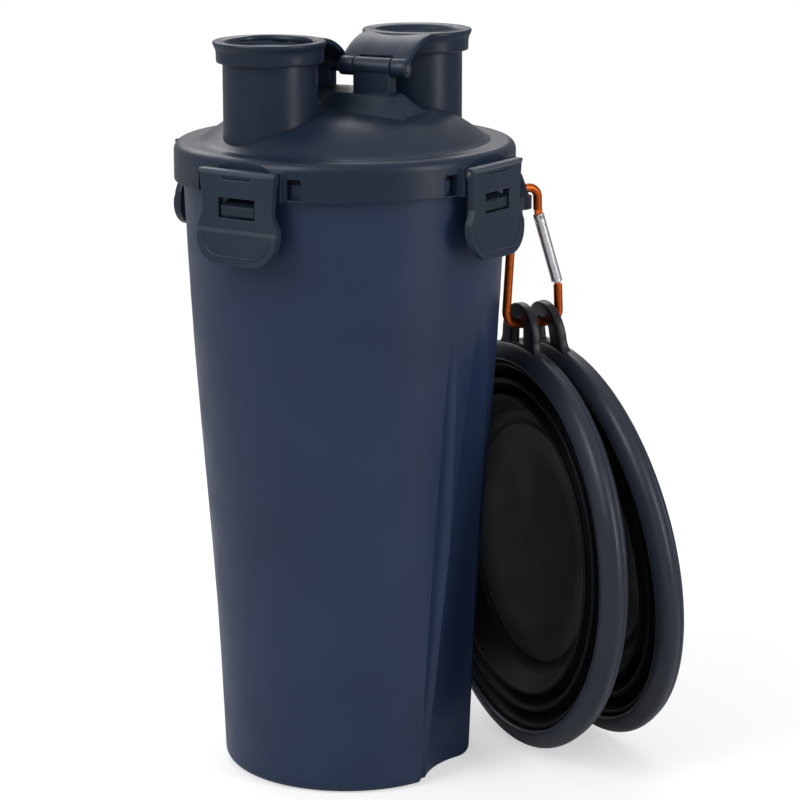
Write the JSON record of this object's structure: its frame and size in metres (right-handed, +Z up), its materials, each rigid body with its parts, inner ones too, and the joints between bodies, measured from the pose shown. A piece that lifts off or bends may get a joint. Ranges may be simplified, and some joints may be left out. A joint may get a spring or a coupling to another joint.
{
  "type": "dog travel water bottle",
  "caption": "Tapered travel bottle with separate water and dry-food chambers, flip-cap spouts, a clip-on lid and folding bowls hung from a snap hook.",
  "frame": {"origin": "centre of the bottle's foot, on the surface that it stands on", "axes": "+Z up along the bottle, -Y towards the front, where the groove between the two chambers and the two front clips show, +X towards the side where the bowls hang"},
  "size_m": [0.1647, 0.1376, 0.2398],
  "materials": {
    "bottle_navy": "moulded, satin-gloss",
    "lid_navy": "moulded, fine satin",
    "seal_silicone": "soft, matt",
    "pin_steel": "drawn",
    "hook_orange": "anodised satin",
    "gate_silver": "satin",
    "bowl_rim_navy": "satin",
    "bowl_silicone": "soft, matt"
  },
  "bodies": {
    "bottle": {"bottle_body": "bottle_navy", "lid_shell": "lid_navy", "lid_gasket": "seal_silicone", "water_spout_tube": "lid_navy", "food_spout_tube": "lid_navy", "water_cap_pin": "pin_steel", "food_cap_pin": "pin_steel", "clip_pin_front_left": "pin_steel", "clip_pin_front_right": "pin_steel", "clip_pin_back_right": "pin_steel", "clip_pin_back_left": "pin_steel"},
    "clip_front_left": {"clip_front_left": "lid_navy"},
    "clip_front_right": {"clip_front_right": "lid_navy"},
    "clip_back_right": {"clip_back_right": "lid_navy"},
    "clip_back_left": {"clip_back_left": "lid_navy"},
    "water_cap": {"water_cap": "lid_navy", "water_cap_plug": "seal_silicone"},
    "food_cap": {"food_cap": "lid_navy", "food_cap_plug": "seal_silicone"},
    "hook": {"hook_body": "hook_orange"},
    "gate": {"hook_gate": "gate_silver", "hook_gate_pin": "pin_steel", "hook_gate_spring": "pin_steel"},
    "front_bowl": {"front_bowl_rim": "bowl_rim_navy", "front_bowl_outer_band": "bowl_silicone", "front_bowl_inner_band": "bowl_silicone", "front_bowl_floor": "bowl_silicone"},
    "back_bowl": {"back_bowl_rim": "bowl_rim_navy"},
    "back_bowl_outer": {"back_bowl_outer_band": "bowl_silicone"},
    "back_bowl_inner": {"back_bowl_inner_band": "bowl_silicone"},
    "back_bowl_floor": {"back_bowl_floor": "bowl_silicone"}
  },
  "joints": [
    {"name": "water_cap_hinge", "type": "hinge", "parent": "bottle", "child": "water_cap", "pos_m": [-0.00957, 0.00882, 0.2304], "axis": [-0.8942, 0.4478, 0], "range_deg": [0, 95]},
    {"name": "food_cap_hinge", "type": "hinge", "parent": "bottle", "child": "food_cap", "pos_m": [0.00957, -0.00882, 0.2304], "axis": [0.8942, -0.4478, 0], "range_deg": [0, 95]},
    {"name": "clip_front_left_hinge", "type": "hinge", "parent": "bottle", "child": "clip_front_left", "pos_m": [-0.03118, -0.04622, 0.2018], "axis": [-0.829, 0.5592, 0], "range_deg": [0, 100]},
    {"name": "clip_front_right_hinge", "type": "hinge", "parent": "bottle", "child": "clip_front_right", "pos_m": [0.04622, -0.03118, 0.2018], "axis": [-0.5592, -0.829, 0], "range_deg": [0, 100]},
    {"name": "clip_back_right_hinge", "type": "hinge", "parent": "bottle", "child": "clip_back_right", "pos_m": [0.03118, 0.04622, 0.2018], "axis": [0.829, -0.5592, 0], "range_deg": [0, 100]},
    {"name": "clip_back_left_hinge", "type": "hinge", "parent": "bottle", "child": "clip_back_left", "pos_m": [-0.04622, 0.03118, 0.2018], "axis": [0.5592, 0.829, 0], "range_deg": [0, 100]},
    {"name": "hook_swing", "type": "hinge", "parent": "bottle", "child": "hook", "pos_m": [0.05827, 0.01062, 0.1846], "axis": [0.4226, -0.9063, 0], "range_deg": [0, 60]},
    {"name": "gate_hinge", "type": "hinge", "parent": "hook", "child": "gate", "pos_m": [0.06271, 0.01269, 0.1792], "axis": [-0.4226, 0.9063, 0], "range_deg": [0, 22], "stiffness_Nm_per_rad": 0.004, "springref_deg": -34.38},
    {"name": "front_bowl_swing", "type": "hinge", "parent": "hook", "child": "front_bowl", "pos_m": [0.05727, 0.01016, 0.144], "axis": [0.9063, 0.4226, 0], "range_deg": [-15, 15]},
    {"name": "back_bowl_swing", "type": "hinge", "parent": "hook", "child": "back_bowl", "pos_m": [0.06552, 0.014, 0.144], "axis": [0.9063, 0.4226, 0], "range_deg": [-15, 15]},
    {"name": "back_bowl_outer_band_slide", "type": "slide", "parent": "back_bowl", "child": "back_bowl_outer", "axis": [0.8975, 0.4185, 0.1392], "range_m": [0, 0.0075]},
    {"name": "back_bowl_inner_band_slide", "type": "slide", "parent": "back_bowl_outer", "child": "back_bowl_inner", "axis": [0.8975, 0.4185, 0.1392], "range_m": [0, 0.0075]},
    {"name": "back_bowl_floor_slide", "type": "slide", "parent": "back_bowl_inner", "child": "back_bowl_floor", "axis": [0.8975, 0.4185, 0.1392], "range_m": [0, 0.0075]}
  ],
  "couplings": [
    {"joint": "back_bowl_inner_band_slide", "follows": "back_bowl_outer_band_slide", "ratio": 1},
    {"joint": "back_bowl_floor_slide", "follows": "back_bowl_outer_band_slide", "ratio": 1}
  ]
}
